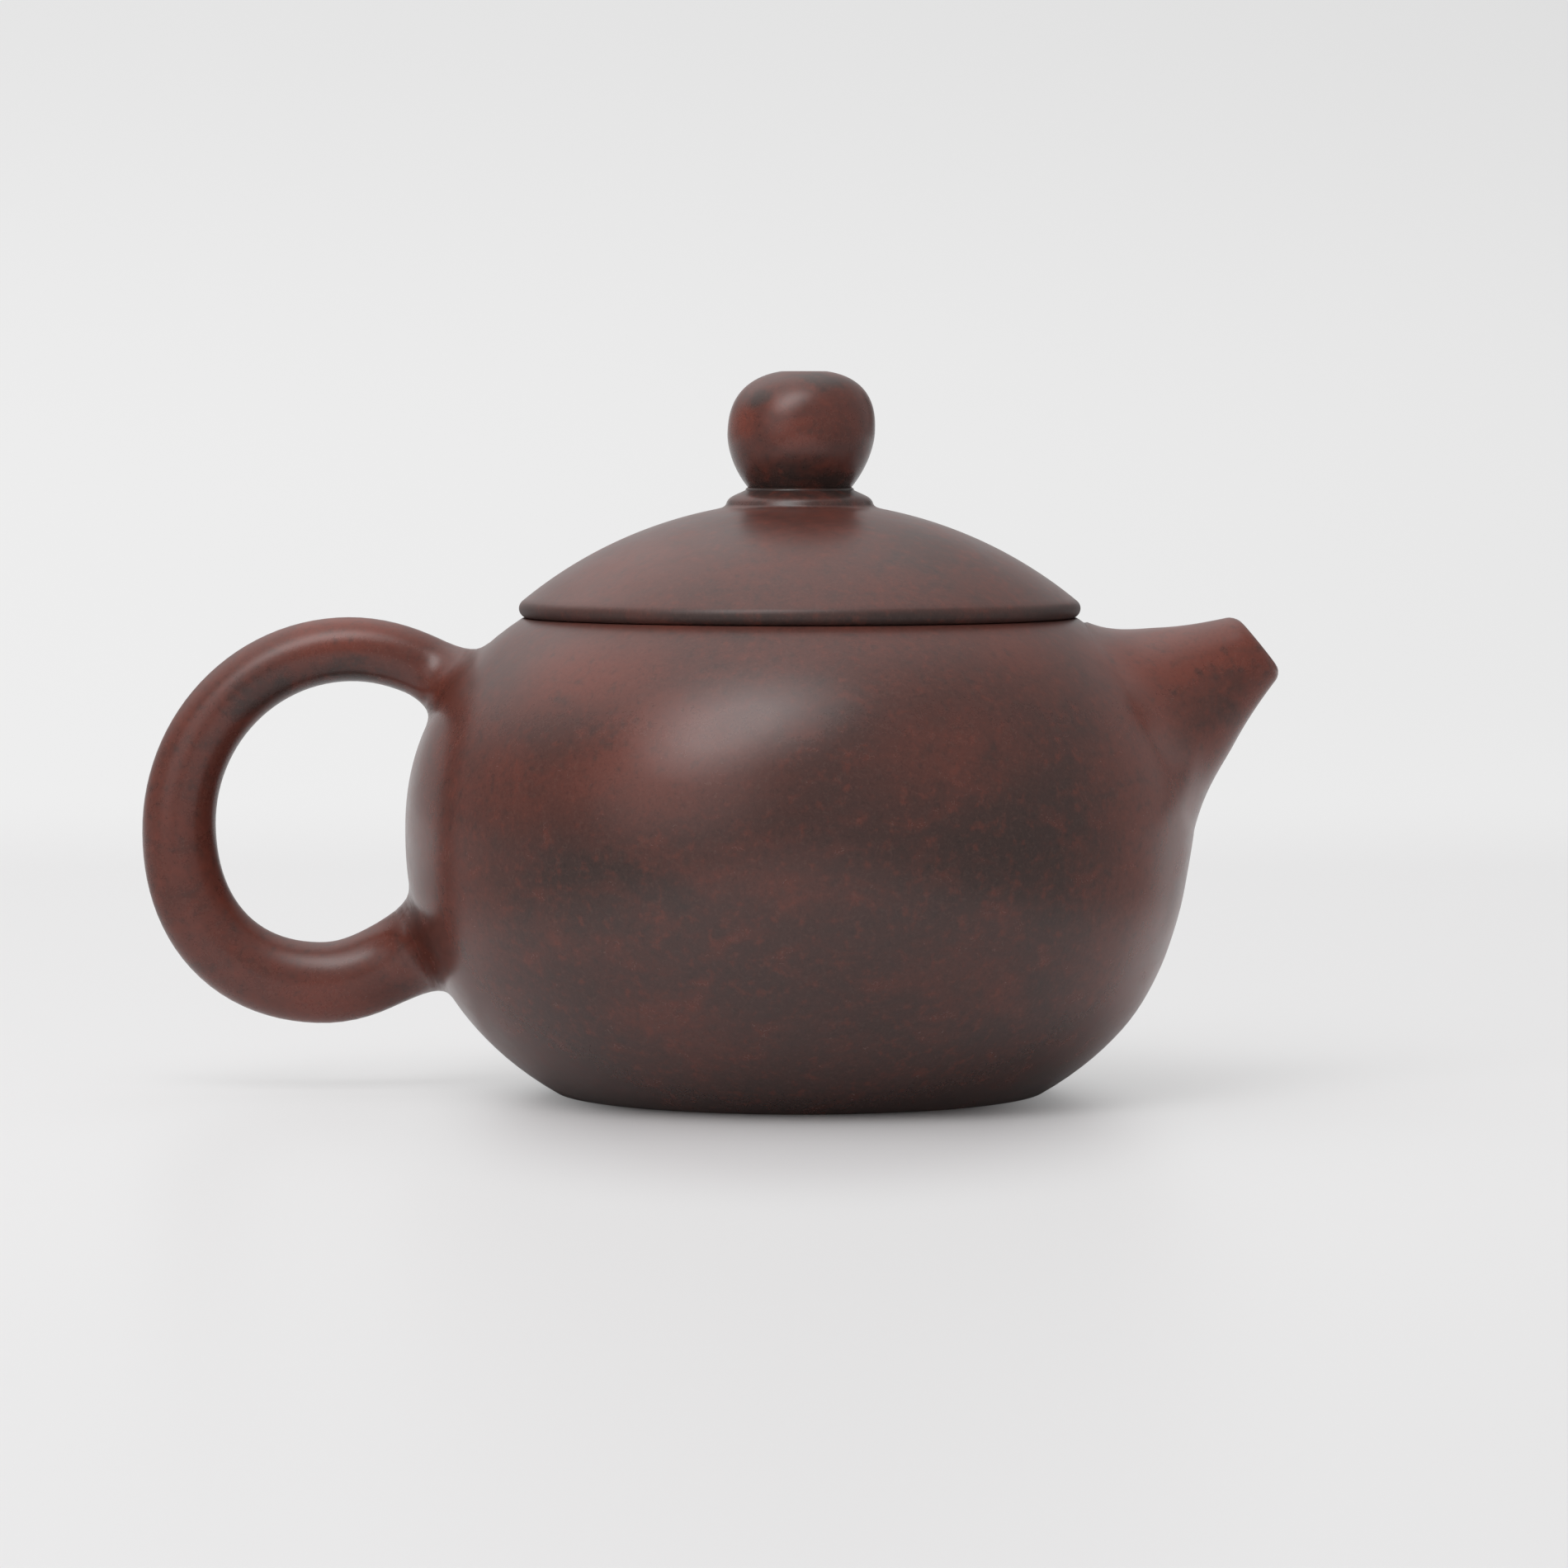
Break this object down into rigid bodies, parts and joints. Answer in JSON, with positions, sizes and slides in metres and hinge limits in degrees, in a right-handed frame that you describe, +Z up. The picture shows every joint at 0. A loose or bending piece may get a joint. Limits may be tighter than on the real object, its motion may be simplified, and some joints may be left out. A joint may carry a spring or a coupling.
{
  "type": "clay teapot",
  "caption": "Low round unglazed clay teapot with a short flared spout, a ring handle and a domed lift-off lid with a ball knob.",
  "frame": {"origin": "on the pot's vertical axis, in the plane of the ring that it stands on", "axes": "+Z up along the pot's axis, +X towards the spout, handle towards -X"},
  "size_m": [0.1299, 0.09, 0.0821],
  "materials": {
    "body_clay": "satin",
    "burnished_clay": "satin"
  },
  "bodies": {
    "pot": {"body_wall": "body_clay", "base_disc": "body_clay", "mouth_ring": "body_clay", "spout": "burnished_clay", "spout_strainer": "body_clay", "handle": "burnished_clay"},
    "lid": {"lid_dome": "body_clay", "lid_flange": "body_clay", "knob_collar": "burnished_clay", "knob": "burnished_clay"}
  },
  "joints": [
    {"name": "lid_lift", "type": "slide", "parent": "pot", "child": "lid", "axis": [0, 0, 1], "range_m": [0, 0.06]}
  ]
}
